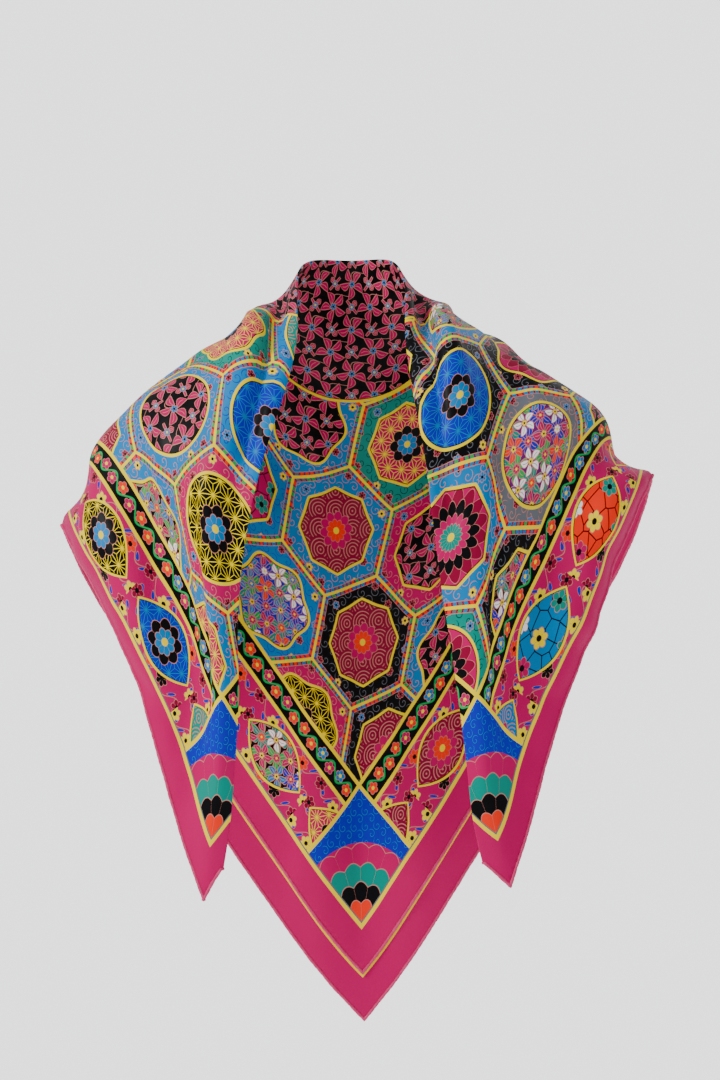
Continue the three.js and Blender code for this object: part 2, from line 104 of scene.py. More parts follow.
# Smaller creases that only the visible cloth has, in the same terms
CREASES = [
    ((-6, 1.45), (-9.1, 1.15), 0.48, -7.4),
    ((-9.85, 1.1), (-14.7, 0.8), 0.42, -9),
    ((-15.3, 0.75), (-19, 0.6), 0.42, -4.4),
    ((-6.4, 0.5), (-9.15, 0.4), 0.44, 3),
    ((-9.85, 0.4), (-14.5, 0.25), 0.38, 2.8),
    ((-8.2, 2.8), (-11.1, 2.45), 0.5, 3.2),
    ((-12, 2.35), (-17, 2), 0.6, 2.4),
    ((-18, 2.6), (-24.5, 2.25), 0.55, -4.5),
    ((-13, 5), (-18.5, 5.5), 0.5, 1.8),
    ((-16.5, 6.6), (-22, 6), 0.55, -2),
    ((-21.8, 9.6), (-24, 5.6), 0.6, -2.5),
    ((-21, 11.4), (-22.6, 8.6), 0.55, 2.4),
    ((-25.4, 7), (-26.6, 4), 0.55, -2.2),
    ((-9, 4), (-13, 6.5), 0.5, -2.8),
    ((-7, 4.5), (-10, 9), 0.5, 1.6),
    ((5.7, 1.1), (8.15, 1.15), 0.46, -8.6),
    ((8.85, 1.1), (13.65, 0.85), 0.42, -8.6),
    ((14.3, 0.8), (17.5, 0.7), 0.42, -4.4),
    ((5.6, 0.35), (8.7, 0.42), 0.4, 3),
    ((9.35, 0.4), (13.5, 0.3), 0.38, 2.6),
    ((7.5, 2.2), (11.6, 2.3), 0.46, 4),
    ((12.4, 2.3), (17, 2.6), 0.55, 2.6),
    ((16.5, 3.4), (20.6, 2.5), 0.55, -5),
    ((21.5, 2.4), (24.5, 2.1), 0.6, -3),
    ((12, 6), (19.5, 5.2), 0.5, 1.8),
    ((15, 7), (20, 8.4), 0.6, -1.8),
    ((20.6, 8), (22.6, 10.2), 0.6, -2.6),
    ((22.4, 5.6), (24.2, 8.4), 0.6, 2.4),
    ((24.4, 4.2), (26.2, 6), 0.55, -2.2),
    ((8, 4), (12, 6.4), 0.5, -3),
    ((7, 5), (10, 9), 0.5, 1.6),
    ((-3, 2), (-5, 9), 0.6, -2),
    ((3.4, 2), (5.6, 9), 0.6, -2),
    ((0, 3), (-0.6, 10), 0.7, 2),
    ((-4, 12), (-5, 24), 0.6, -2.2),
    ((5.4, 11), (6.6, 22), 0.6, -2),
    ((1.8, 12), (2, 26), 0.6, 1.8),
    ((-8.6, 12), (-9.4, 20), 0.6, 2),
    ((9.4, 13), (10.2, 20), 0.6, 2),
]

# How the lattice is evened out: in how many passes and how hard, and how stiff the ties are
EVEN_PASSES = 70
PULL = 1.3
THREAD = 1.0  # along the threads
BIAS = 0.35  # across them
BEND = 0.12  # over two cells
BEND_EASE = 0.06  # how much shorter two cells may get by bending
KEEP = 0.02  # how firmly each point keeps to its section
KEEP_HEM = 0.1  # the same on the hems by the front corners
KEEP_FOLD = 0.6  # and on the fold
FRONT_HEM_FROM = 18  # where those hems start, in cells from the nape
SMOOTH_PASSES = 4
SECTION_STEPS = 200  # steps in which a section's curve is measured
GRID_PAD = 3  # cells by which the grid reaches past the cloth's edges


def unit(v):
    return v / np.maximum(np.linalg.norm(v, axis=-1, keepdims=True), 1e-12)


def through(xs, places, x):
    """A smooth curve through places at rising values xs, at each x."""
    xs = np.asarray(xs, float)
    places = np.asarray(places, float)
    slopes = np.gradient(places, xs, axis=0)
    x = np.atleast_1d(np.asarray(x, float))
    k = np.clip(np.searchsorted(xs, x) - 1, 0, len(xs) - 2)
    h = (xs[k + 1] - xs[k])[:, None]
    u = ((x - xs[k])[:, None]) / h
    return (
        (2 * u**3 - 3 * u**2 + 1) * places[k]
        + h * (u**3 - 2 * u**2 + u) * slopes[k]
        + (3 * u**2 - 2 * u**3) * places[k + 1]
        + h * (u**3 - u**2) * slopes[k + 1]
    )


# The lattice of the outer layer, s cells along the fold and t cells away from it
LATTICE = [
    (s, t)
    for t in range(OUTER + 1)
    for s in range(-CELLS, CELLS + 1)
    if abs(s) + t <= OUTER and abs(s) - t <= UNDER
]
NUMBER = {point: n for n, point in enumerate(LATTICE)}
ST = np.array(LATTICE, float)


def section(s):
    """The places of one section's lattice points, evenly spaced along its smooth curve."""
    stations = [row[0] for row in SECTIONS]
    knots = np.array([through(stations, [row[c] for row in SECTIONS], s)[0] for c in range(1, 6)])
    along = np.r_[0, np.cumsum(np.linalg.norm(np.diff(knots, axis=0), axis=1))]
    curve = through(along, knots, np.linspace(0, along[-1], SECTION_STEPS + 1))
    run = np.r_[0, np.cumsum(np.linalg.norm(np.diff(curve, axis=0), axis=1))]
    first = max(0, abs(s) - UNDER)
    steps = OUTER - abs(s) - first
    wanted = np.arange(steps + 1) * (run[-1] / max(steps, 1))
    places = np.stack([np.interp(wanted, run, curve[:, axis]) for axis in range(3)], 1)
    return {(s, first + k): place for k, place in enumerate(places)}


def cells_of(inside, reach_s, reach_t):
    """Quads of a range of cells, and triangles where an edge halves a cell, as corner tuples."""
    faces = []
    for t in range(reach_t):
        for s in range(-reach_s, reach_s):
            corners = [(s, t), (s + 1, t), (s + 1, t + 1), (s, t + 1)]
            kept = [corner for corner in corners if inside(corner)]
            if len(kept) >= 3:
                faces.append(kept)
    return faces


def split(faces):
    """The lattice's triangles, with their diagonals along the hems."""
    triangles = []
    for face in faces:
        if len(face) == 3:
            triangles.append(face)
        elif face[0][0] < 0:
            triangles += [[face[0], face[1], face[2]], [face[0], face[2], face[3]]]
        else:
            triangles += [[face[0], face[1], face[3]], [face[1], face[2], face[3]]]
    return triangles


COARSE_FACES = np.array(
    [
        [NUMBER[corner] for corner in face]
        for face in split(cells_of(NUMBER.__contains__, CELLS, OUTER))
    ]
)


def normals_of(places, triangles):
    a, b, c = (places[triangles[:, k]] for k in range(3))
    face = np.cross(b - a, c - a)
    sums = np.zeros_like(places)
    for k in range(3):
        np.add.at(sums, triangles[:, k], face)
    return unit(sums)


def raised(st, table):
    """How far the folds of a table raise each point of the cloth."""
    rise = np.zeros(len(st))
    for start, end, width, height in table:
        start = np.array(start, float)
        run = np.array(end, float) - start
        u = np.clip((st - start) @ run / (run @ run), 0, 1)
        away = np.linalg.norm(st - start - u[:, None] * run, axis=1) / width
        rise += height * np.exp(-(away**2))
    return rise


def ties():
    """Which points hold each other, at what distance, how stiffly, and whether it is by a bend."""
    threads, bias = [(1, 1), (-1, 1)], [(1, 0), (0, 1)]
    kinds = [(step, THREAD, False) for step in threads] + [(step, BIAS, False) for step in bias]
    kinds += [((2 * a, 2 * b), BEND, True) for a, b in threads + bias]
    for (ds, dt), stiffness, bend in kinds:
        others = [(n, (s + ds, t + dt)) for (s, t), n in NUMBER.items()]
        pairs = np.array([(n, NUMBER[other]) for n, other in others if other in NUMBER])
        yield pairs, CELL * math.hypot(ds, dt), stiffness, bend


def evened(start):
    """Evens out the lattice, towards the lengths that its threads have on the flat square."""
    all_ties = list(ties())
    s, t = np.abs(ST[:, 0]), ST[:, 1]
    keep = np.where((s + t == OUTER) & (s >= FRONT_HEM_FROM), KEEP_HEM, 0.0)
    keep = np.where((t == 0) | (s == CELLS), KEEP_FOLD, keep)[:, None]
    places = start
    for _ in range(EVEN_PASSES):
        moves = np.zeros_like(places)
        weights = np.zeros(len(places))
        for pairs, rest, stiffness, bend in all_ties:
            gap = places[pairs[:, 1]] - places[pairs[:, 0]]
            length = np.linalg.norm(gap, axis=1)
            excess = np.minimum(length - rest * (1 - BEND_EASE), 0) if bend else length - rest
            share = (stiffness * excess / 2 / length)[:, None] * gap
            np.add.at(moves, pairs[:, 0], share)
            np.add.at(moves, pairs[:, 1], -share)
            acting = np.where(excess != 0, stiffness, 0.0)
            np.add.at(weights, pairs[:, 0], acting)
            np.add.at(weights, pairs[:, 1], acting)
        moved = places + moves * (PULL / np.maximum(weights, 1))[:, None]
        moved += KEEP * (start - moved)
        places = moved + keep * (start - moved)
    return places


def smoothed(places):
    """Takes out ripples shorter than two cells, and smooths an edge along itself."""
    result = places.copy()
    for n, (s, t) in enumerate(LATTICE):
        side = (s > 0) - (s < 0)
        beside = [(1, 0), (-1, 0), (0, 1), (0, -1)]
        if abs(s) + t == OUTER:
            beside = [(side, -1), (-side, 1)]
        elif t == 0:
            beside = [(1, 0), (-1, 0)]
        near = [NUMBER[(s + a, t + b)] for a, b in beside if (s + a, t + b) in NUMBER]
        if len(near) == len(beside) and (s, t) != (0, OUTER):
            result[n] = (places[n] + places[near].mean(axis=0)) / 2
    return result


def drape():
    """The coarse lattice's places, as the solids have them."""
    found = {}
    for s in range(-CELLS, CELLS + 1):
        found.update(section(s))
    flat = np.array([found[point] for point in LATTICE])
    places = flat + raised(ST, FOLDS)[:, None] * normals_of(flat, COARSE_FACES)
    places = evened(places)
    for _ in range(SMOOTH_PASSES):
        places = smoothed(places)
    return places


def filled_grid(places):
    """The lattice as a full grid, carried on past its edges so that it can be sampled there."""
    low_s, low_t = -CELLS - GRID_PAD, -GRID_PAD
    grid = np.full((2 * (CELLS + GRID_PAD) + 1, OUTER + 2 * GRID_PAD + 1, 3), np.nan)
    for n, (s, t) in enumerate(LATTICE):
        grid[s - low_s, t - low_t] = places[n]
    steps = [(1, 0), (-1, 0), (0, 1), (0, -1), (1, 1), (-1, 1), (1, -1), (-1, -1)]
    for _ in range(GRID_PAD + 1):
        new = grid.copy()
        for i, j in np.argwhere(np.isnan(grid[:, :, 0])):
            guesses = []
            for a, b in steps:
                i1, j1, i2, j2 = i + a, j + b, i + 2 * a, j + 2 * b
                if 0 <= i2 < grid.shape[0] and 0 <= j2 < grid.shape[1]:
                    if not np.isnan(grid[i1, j1, 0]) and not np.isnan(grid[i2, j2, 0]):
                        guesses.append(2 * grid[i1, j1] - grid[i2, j2])
            if guesses:
                new[i, j] = np.mean(guesses, axis=0)
        grid = new
    return grid, low_s, low_t


def sampled(grid, low_s, low_t, st):
    """Smooth cubic sampling of the grid at places in cells."""
    result = np.zeros((len(st), 3))
    where = st - np.array([low_s, low_t])
    base = np.floor(where).astype(int)
    part = where - base

    def weights(u):
        return [
            -0.5 * u**3 + u**2 - 0.5 * u,
            1.5 * u**3 - 2.5 * u**2 + 1,
            -1.5 * u**3 + 2 * u**2 + 0.5 * u,
            0.5 * u**3 - 0.5 * u**2,
        ]

    along, away = weights(part[:, 0]), weights(part[:, 1])
    for a in range(4):
        for b in range(4):
            i = np.clip(base[:, 0] + a - 1, 0, grid.shape[0] - 1)
            j = np.clip(base[:, 1] + b - 1, 0, grid.shape[1] - 1)
            weight = along[a] * away[b]
            value = grid[i, j]
            result += np.where(weight[:, None] == 0, 0, weight[:, None] * np.nan_to_num(value))
    return result


RIPPLES = 36  # seeded soft ripples, on top of the creases
RIPPLE_RISE = 0.16
RIPPLE_SPREAD = (0.75, 0.4)  # how quickly they come along the fold and away from it
RNG = np.random.default_rng(7)
RIPPLE_WAVES = np.c_[tuple(RNG.normal(0, spread, RIPPLES) for spread in RIPPLE_SPREAD)]
RIPPLE_START = RNG.uniform(0, 2 * math.pi, RIPPLES)


def ripples(st):
    """Slight unevenness in s and t, which runs mostly down the cloth."""
    return RIPPLE_RISE * np.sin(st @ RIPPLE_WAVES.T + RIPPLE_START).sum(axis=1)


NORMAL_STEP = 0.05  # cells either side of a place, to find which way it faces
INWARD_STEP = 0.3  # cells away from the fold, to find which way the cloth goes on


class Surface:
    """The middle between the two layers, at any place in cells."""

    def __init__(self):
        self.grid = filled_grid(drape())

    def normals(self, place, st):
        run = place(st + [NORMAL_STEP, 0]) - place(st - [NORMAL_STEP, 0])
        away = place(st + [0, NORMAL_STEP]) - place(st - [0, NORMAL_STEP])
        return unit(np.cross(run, away))

    def plain(self, st):
        return sampled(*self.grid, st)

    def creased(self, st):
        rise = raised(st, CREASES) + ripples(st)
        return self.plain(st) + rise[:, None] * self.normals(self.plain, st)

    def frame(self, st):
        st = np.atleast_2d(np.asarray(st, float))
        return self.creased(st), self.normals(self.creased, st)

    def layer(self, st, turn):
        """Places on a layer, and which way they face. turn is 0 on the outer layer and pi on the
        under one, and goes from one to the other over the fold."""
        place, normal = self.frame(st)
        inward = self.creased(np.atleast_2d(st) + [0, INWARD_STEP]) - place
        inward = unit(inward - (inward * normal).sum(axis=1, keepdims=True) * normal)
        turn = np.broadcast_to(turn, len(place))[:, None]
        facing = unit(np.cos(turn) * normal - np.sin(turn) * inward)
        return place + LAYER_MID * facing, facing


SURFACE = Surface()


def mesh_object(name, points, faces):
    mesh = bpy.data.meshes.new(name)
    mesh.from_pydata([tuple(p) for p in points * MM], [], faces)
    mesh.polygons.foreach_set("use_smooth", [True] * len(mesh.polygons))
    mesh.update()
    piece = bpy.data.objects.new(name, mesh)
    bpy.context.scene.collection.objects.link(piece)
    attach(piece, "root")
    return piece


TURN_STEPS = 6  # over the fold, from one layer to the other
TURN_SHARE = math.pi * LAYER_MID / 2 / CELL  # half the fold's own length, in cells

# For baking, the right side fills most of the square, and the wrong side and the rims a strip each
BAKE_GAP = 0.003
BAKE_START = 0.004
BAKE_RIGHT = 0.94
BAKE_STRIP = 0.95
BAKE_WRONG = 0.045
BAKE_RIM = 0.0045
BAKE_RIMS_A_ROW = 200


def flat_place(s, t, step):
    """Where a point lies on the flat square, from 0 to 1 each way."""
    turned = 1 - 2 * step / TURN_STEPS
    across = turned * (t + TURN_SHARE * max(0, 1 - t / 2)) - FOLD_SHIFT
    return (s + across) / (2 * CELLS) + 0.5, (across - s) / (2 * CELLS) + 0.5


def cloth():
    """Both layers and the fold between them, as one thin shell."""
    tip, outer, under = CELLS * FINE, OUTER * FINE, UNDER * FINE
    number = {}
    where, turns, flats = [], [], []

    def vertex(a, b, step):
        if (a, b, step) not in number:
            number[(a, b, step)] = len(where)
            where.append((a / FINE, b / FINE))
            turns.append(math.pi * step / TURN_STEPS)
            flats.append(flat_place(a / FINE, b / FINE, step))
        return number[(a, b, step)]

    def on_outer(point):
        return abs(point[0]) + point[1] <= outer and abs(point[0]) - point[1] <= under

    def on_under(point):
        return abs(point[0]) + point[1] <= under

    faces = [[vertex(a, b, 0) for a, b in face] for face in cells_of(on_outer, tip, outer)]
    for face in cells_of(on_under, under, under):
        faces.append([vertex(a, b, TURN_STEPS) for a, b in reversed(face)])
    for a in range(-under, under):
        for step in range(TURN_STEPS):
            corners = [(a, step), (a, step + 1), (a + 1, step + 1), (a + 1, step)]
            faces.append([vertex(c, 0, k) for c, k in corners])
    places, facing = SURFACE.layer(np.array(where), np.array(turns))
    count = len(places)
    shell = np.vstack([places + facing * SHELL / 2, places - facing * SHELL / 2])
    edges = {(f[k], f[(k + 1) % len(f)]) for f in faces for k in range(len(f))}
    rims = sorted([a, a + count, b + count, b] for a, b in edges if (b, a) not in edges)
    wrong_side = [[n + count for n in reversed(face)] for face in faces]
    piece = mesh_object("silk_square", shell, faces + wrong_side + rims)

    mesh = piece.data
    loops = np.zeros(len(mesh.loops), int)
    mesh.loops.foreach_get("vertex_index", loops)
    flat = np.array(flats + flats)[loops]
    mesh.uv_layers.new(name="flat").data.foreach_set("uv", flat.ravel())

    corners = sum(len(face) for face in faces)
    bake = BAKE_GAP + BAKE_RIGHT * flat
    bake[corners : 2 * corners] = [BAKE_STRIP, BAKE_START] + BAKE_WRONG * flat[corners : 2 * corners]
    tiny = np.array([(0, 0), (1, 0), (1, 1), (0, 1)]) * BAKE_GAP
    for k in range(len(rims)):
        start = 2 * corners + 4 * k
        row, column = divmod(k, BAKE_RIMS_A_ROW)
        bake[start : start + 4] = [BAKE_START + BAKE_RIM * column, BAKE_STRIP + BAKE_RIM * row] + tiny
    mesh.uv_layers.new(name="OFBake").data.foreach_set("uv", bake.ravel())
    return piece


ROLL = 1.35  # radius of a rolled hem
ROLL_SIDES = 10
ROLL_INSET = 0.9  # from the cloth's edge to the middle of the roll
ROLL_STEP = 1.4
FLAT_SHARE = 0.92  # of the radius, where the roll is pressed flat on the cloth
STITCH = 7.0  # from one stitch to the next
DIMPLE_LONG = 0.9
DIMPLE_DEEP = 0.2  # share of the radius
SWELL = 0.05  # slow unevenness of the radius, and how fast it comes
SWELL_RATE = 0.23


def hem(name, corners):
    """A rolled hem along a run of lattice corners (s, t, turn), drawn in a little at each stitch.
    The cloth lies on the run's right, seen on its face."""
    where, turns = [], []
    for (s0, t0, turn0), (s1, t1, turn1) in zip(corners, corners[1:]):
        length = max(math.hypot(s1 - s0, t1 - t0) * CELL, abs(turn1 - turn0) * LAYER_MID)
        steps = max(2, round(length / ROLL_STEP))
        for k in range(steps):
            u = k / steps
            where.append((s0 + (s1 - s0) * u, t0 + (t1 - t0) * u))
            turns.append(turn0 + (turn1 - turn0) * u)
    where.append(corners[-1][:2])
    turns.append(corners[-1][2])
    where, turns = np.array(where, float), np.array(turns)
    places, facing = SURFACE.layer(where, turns)
    side = -unit(np.cross(facing, unit(np.gradient(places, axis=0))))
    run = np.r_[0, np.cumsum(np.linalg.norm(np.diff(places, axis=0), axis=1))]
    jitter = 0.9 * np.sin(run * 0.37) + 0.6 * np.sin(run * 0.11 + 1)
    phase = (run + jitter) / STITCH
    dimple = np.exp(-(((phase - np.round(phase)) * STITCH / DIMPLE_LONG) ** 2))
    radius = ROLL * (1 - DIMPLE_DEEP * dimple + SWELL * np.sin(run * SWELL_RATE))[:, None]
    core = places + ROLL_INSET * side
    rings = []
    for k in range(ROLL_SIDES):
        angle = 2 * math.pi * k / ROLL_SIDES
        flatten = FLAT_SHARE if k % (ROLL_SIDES // 2) == 0 else 1.0
        rings.append(core + radius * flatten * (math.cos(angle) * facing + math.sin(angle) * side))
    points = np.stack(rings, 1).reshape(-1, 3)
    faces = []
    for n in range(len(where) - 1):
        for k in range(ROLL_SIDES):
            a, b = n * ROLL_SIDES + k, n * ROLL_SIDES + (k + 1) % ROLL_SIDES
            faces.append([a, b, b + ROLL_SIDES, a + ROLL_SIDES])
    last = (len(where) - 1) * ROLL_SIDES
    faces.append(list(range(ROLL_SIDES))[::-1])
    faces.append([last + k for k in range(ROLL_SIDES)])
    return mesh_object(name, points, faces)


# The print, in millimetres on the flat square with its middle at the origin
HALF = SIDE / 2
BORDER = 26.0
LINE = 3.6  # each yellow line
BAND = 56.0  # the wide band of cartouches
TRIM = 19.0  # the narrow band of flowers
FIELD = HALF - BORDER - BAND - TRIM - 3 * LINE
HEXAGON = 50.0  # from the middle of a hexagon to its side
BEADS = 9.0  # between two hexagons
CORE = 150.0  # radius of the round in the middle
CARTOUCHE = 88.0  # from one cartouche to the next
MEDALLION = HEXAGON - BEADS / 2 - 7
CONTOUR = 0.3  # half the width of a drawn contour
VEIN = 0.35  # half the width of a line between petals
HEART = 0.3  # share of a flower's radius that its heart has
LEAF_MIDDLE = 0.58  # share of a leaf's reach at which it is widest
RIM = 2.4  # a yellow rim round each medallion and cartouche
KEYLINE = 0.7  # a black line inside the rim
FAN_RADII = (16.0, 30.0, 46.0, 62.0)
FAN_SCALLOP = 4.2
WAVE = 26.0  # length of the trim's running wave
BEADS_ROUND = 66  # beads round one hexagon

# Seeds of the print's chances
LOT_SEED = 3.0
SHAPE_SEED = 5.0
KIND_SEED = 8.0
SPRIG_SEED = 11.0
FLOWER_SEED = 13.0
BEAD_SEED = 17.0
TRIM_SEED = 41.0
LEAF_SEED = 51.0
BRIGHT_SEED = 53.0


def srgb(text):
    """A colour from its usual six digits, for a shader."""
    parts = [int(text[k : k + 2], 16) / 255 for k in (0, 2, 4)]
    linear = [p / 12.92 if p <= 0.04045 else ((p + 0.055) / 1.055) ** 2.4 for p in parts]
    return (*linear, 1.0)


MAGENTA = srgb("c4005e")
YELLOW = srgb("ffe000")
SKY = srgb("007ebe")
GREY = srgb("6a6e76")
BLACK = srgb("08070a")
COBALT = srgb("1020b8")
ORANGE = srgb("ff2a08")
CRIMSON = srgb("900836")
TEAL = srgb("008e7e")
GREEN = srgb("00ac52")
PURPLE = srgb("6c146c")
CREAM = srgb("c88074")
WHITE = srgb("ffffff")


class Val:
    """A shader value that sums can be written with."""

    def __init__(self, socket):
        self.socket = socket

    def __add__(self, other):
        return calc("ADD", self, other)

    def __radd__(self, other):
        return calc("ADD", other, self)

    def __sub__(self, other):
        return calc("SUBTRACT", self, other)

    def __rsub__(self, other):
        return calc("SUBTRACT", other, self)

    def __mul__(self, other):
        return calc("MULTIPLY", self, other)

    def __rmul__(self, other):
        return calc("MULTIPLY", other, self)

    def __truediv__(self, other):
        return calc("DIVIDE", self, other)

    def __lt__(self, other):
        return calc("LESS_THAN", self, other)

    def __gt__(self, other):
        return calc("GREATER_THAN", self, other)

    def __and__(self, other):
        return calc("MULTIPLY", self, other)

    def __or__(self, other):
        return calc("MAXIMUM", self, other)


class Tree:
    """The nodes and links that are being added to."""

    nodes = None
    links = None


# Where a mix node has its share, its two numbers and its two colours
MIX_SHARE = 0
MIX_NUMBERS = (2, 3)
MIX_COLOURS = (6, 7)


def new_node(kind, **settings):
    node = Tree.nodes.new(kind)
    for name, value in settings.items():
        setattr(node, name, value)
    return node


def feed(socket, value):
    if isinstance(value, Val):
        Tree.links.new(value.socket, socket)
    else:
        socket.default_value = value


def calc(operation, *inputs):
    node = new_node("ShaderNodeMath", operation=operation)
    for socket, value in zip(node.inputs, inputs):
        feed(socket, value)
    return Val(node.outputs[0])


def size_of(value):
    return calc("ABSOLUTE", value)


def larger(a, b):
    return calc("MAXIMUM", a, b)


def smaller(a, b):
    return calc("MINIMUM", a, b)


def vector(x, y, z=0.0):
    node = new_node("ShaderNodeCombineXYZ")
    for socket, value in zip(node.inputs, (x, y, z)):
        feed(socket, value)
    return Val(node.outputs[0])


def distance(x, y):
    node = new_node("ShaderNodeVectorMath", operation="LENGTH")
    feed(node.inputs[0], vector(x, y))
    return Val(node.outputs["Value"])


def paint(base, mask, colour):
    """Lays a colour over another wherever the mask is 1."""
    node = new_node("ShaderNodeMix", data_type="RGBA")
    feed(node.inputs[MIX_SHARE], mask)
    feed(node.inputs[MIX_COLOURS[0]], base)
    feed(node.inputs[MIX_COLOURS[1]], colour)
    return Val(node.outputs[2])


def either(mask, a, b):
    """The number a where the mask is 1, and b elsewhere."""
    node = new_node("ShaderNodeMix", data_type="FLOAT")
    feed(node.inputs[MIX_SHARE], mask)
    feed(node.inputs[MIX_NUMBERS[0]], b)
    feed(node.inputs[MIX_NUMBERS[1]], a)
    return Val(node.outputs[0])


def chance(x, y, seed):
    """A number from 0 to 1 that is the same all over one cell."""
    node = new_node("ShaderNodeTexWhiteNoise", noise_dimensions="3D")
    feed(node.inputs["Vector"], vector(x, y, seed))
    return Val(node.outputs["Value"])


def pick(value, colours):
    """One of some colours, in equal shares of 0 to 1."""
    node = new_node("ShaderNodeValToRGB")
    ramp = node.color_ramp
    ramp.interpolation = "CONSTANT"
    while len(ramp.elements) < len(colours):
        ramp.elements.new(0.5)
    for k, colour in enumerate(colours):
        ramp.elements[k].position = k / len(colours)
    for k, colour in enumerate(colours):
        ramp.elements[k].color = colour
    feed(node.inputs[0], value)
    return Val(node.outputs[0])


def cell(value, pitch):
    """The place from the middle of a cell, and the cell's number."""
    local = calc("WRAP", value, pitch / 2, -pitch / 2)
    return local, calc("ROUND", (value - local) / pitch)


def turns_of(number):
    """1 and -1 in turn, as a whole number rises."""
    return calc("PINGPONG", number, 1.0) * 2 - 1


def blossom(base, x, y, petals, radius, colour, heart, turn=0.0, notch=0.3):
    """A flower of rounded petals with a thin outline, a heart and a line between petals."""
    away = distance(x, y)
    angle = calc("ARCTAN2", y, x) * (petals / 2) + turn
    swell = size_of(calc("COSINE", angle))
    edge = (swell * notch + (1 - notch)) * radius
    between = swell * away < VEIN
    base = paint(base, away < edge + CONTOUR, CREAM)
    base = paint(base, away < edge - CONTOUR, colour)
    base = paint(base, between & (away < edge), CREAM)
    return paint(base, away < HEART * radius, heart)


def scrolls(x, y, pitch, ground, line):
    """Small spirals that turn each way in turn."""
    px, i = cell(x, pitch)
    py, j = cell(y, pitch)
    turn = turns_of(i + j)
    away = distance(px, py)
    angle = calc("ARCTAN2", py, px * turn)
    coil = calc("FRACT", away * (2.6 / pitch) + angle * (0.5 / math.pi))
    return paint(ground, (size_of(coil - 0.5) < 0.075) & (away < pitch * 0.47), line)


def hemp_leaf(x, y, side, ground, line):
    """The star lattice of small triangles."""
    q = calc("FRACT", (x - y / math.sqrt(3)) / side)
    r = calc("FRACT", y * (2 / math.sqrt(3) / side))
    flip = q + r > 1.0
    q = size_of(q - flip)
    r = size_of(r - flip)
    third = 1 - q - r
    least = smaller(smaller(q, r), third)
    most = larger(larger(q, r), third)
    near = least < 0.03
    spoke = 1 - most - 2 * least < 0.04
    return paint(ground, near | spoke, line)


def waves(x, y, pitch, ground, line):
    """Rows of overlapping ringed scales."""
    py = calc("FRACT", y / pitch) * pitch
    row = calc("FLOOR", y / pitch)
    shift = calc("PINGPONG", row, 1.0) * pitch
    first = distance(cell(x + shift, 2 * pitch)[0], py)
    second = distance(cell(x + shift + pitch, 2 * pitch)[0], pitch - py)
    inside = first < pitch
    away = first * inside + second * (1 - inside)
    return paint(ground, calc("FRACT", away / (pitch / 4)) < 0.3, line)


def crackle(x, y, scale, ground, line):
    """An uneven net of thin lines."""
    node = new_node("ShaderNodeTexVoronoi", feature="DISTANCE_TO_EDGE", voronoi_dimensions="2D")
    node.inputs["Scale"].default_value = 1.0
    feed(node.inputs["Vector"], vector(x / scale, y / scale))
    return paint(ground, Val(node.outputs["Distance"]) < 0.45 / scale, line)


def leaves(base, x, y, count, reach, wide, bend, colour):
    """Curved pointed leaves round a point, each with a vein."""
    away = distance(x, y)
    angle = calc("WRAP", calc("ARCTAN2", y, x), math.pi / count, -math.pi / count)
    u = (away * calc("COSINE", angle) - reach * LEAF_MIDDLE) / (reach * (1 - LEAF_MIDDLE))
    v = size_of(away * calc("SINE", angle) - (u * u - 0.5) * bend)
    body = wide * (1 - u * u) - v
    base = paint(base, body > -0.45, CREAM)
    base = paint(base, body > 0.25, colour)
    return paint(base, (v < 0.28) & (body > 0.25) & (u < 0.5), CREAM)


def arabesque(x, y, pitch, ground, leaf, small):
    """Whorls of curved leaves on wandering stems, with little flowers between them."""
    px, i = cell(x, pitch)
    py, j = cell(y, pitch)
    turn = turns_of(i + j)
    sway = calc("SINE", x * (2 * math.pi / pitch)) * (pitch * 0.24)
    base = paint(ground, size_of(py - sway) < 0.4, CREAM)
    base = leaves(base, px, py * turn, 5, pitch * 0.5, pitch * 0.11, pitch * 0.1, leaf)
    qx = cell(x + pitch / 2, pitch)[0]
    qy = cell(y + pitch / 2, pitch)[0]
    base = leaves(base, qx, qy * turn, 4, pitch * 0.28, pitch * 0.06, pitch * 0.05, leaf)
    base = blossom(base, qx, qy, 6, pitch * 0.11, small, YELLOW)
    return blossom(base, px, py, 5, pitch * 0.12, small, BLACK)


def garden(x, y, pitch, ground, greens, brights):
    """Whorls of leaves and flowers in turn, packed close and coloured by chance."""
    px, i = cell(x, pitch)
    py, j = cell(y, pitch)
    lot = chance(i, j, LEAF_SEED)
    qx, m = cell(x + pitch / 2, pitch)
    qy, n = cell(y + pitch / 2, pitch)
    bright = pick(chance(m, n, BRIGHT_SEED), brights)
    base = leaves(ground, px, py, 6, pitch * 0.56, pitch * 0.13, pitch * 0.08, pick(lot, greens))
    base = leaves(base, qx, qy, 5, pitch * 0.5, pitch * 0.12, -pitch * 0.08, bright)
    base = blossom(base, qx, qy, 5, pitch * 0.13, YELLOW, BLACK)
    return blossom(base, px, py, 6, pitch * 0.17, pick(lot, brights), YELLOW)


def rosette(base, x, y, petals, radii, colours):
    """Flowers of one middle laid over each other, each turned by half a petal."""
    for k, (radius, colour, heart) in enumerate(zip(radii, colours, colours[1:] + [YELLOW])):
        base = blossom(base, x, y, petals, radius, colour, heart, k * math.pi / 2, 0.22)
    return base


def fan(x, y, radii, colours, petals):
    """Scalloped rings round a corner, each ring parted by thin spokes."""
    away = distance(x, y)
    angle = calc("ARCTAN2", y, x)
    base = colours[-1]
    for k in range(len(radii) - 1, -1, -1):
        count = petals + 2 * k
        swell = size_of(calc("SINE", angle * count))
        edge = radii[k] + swell * FAN_SCALLOP
        base = paint(base, away < edge + 0.5, CREAM)
        base = paint(base, away < edge - 0.3, colours[k])
        base = paint(base, (swell * away < 0.5) & (away < edge), CREAM)
    return base


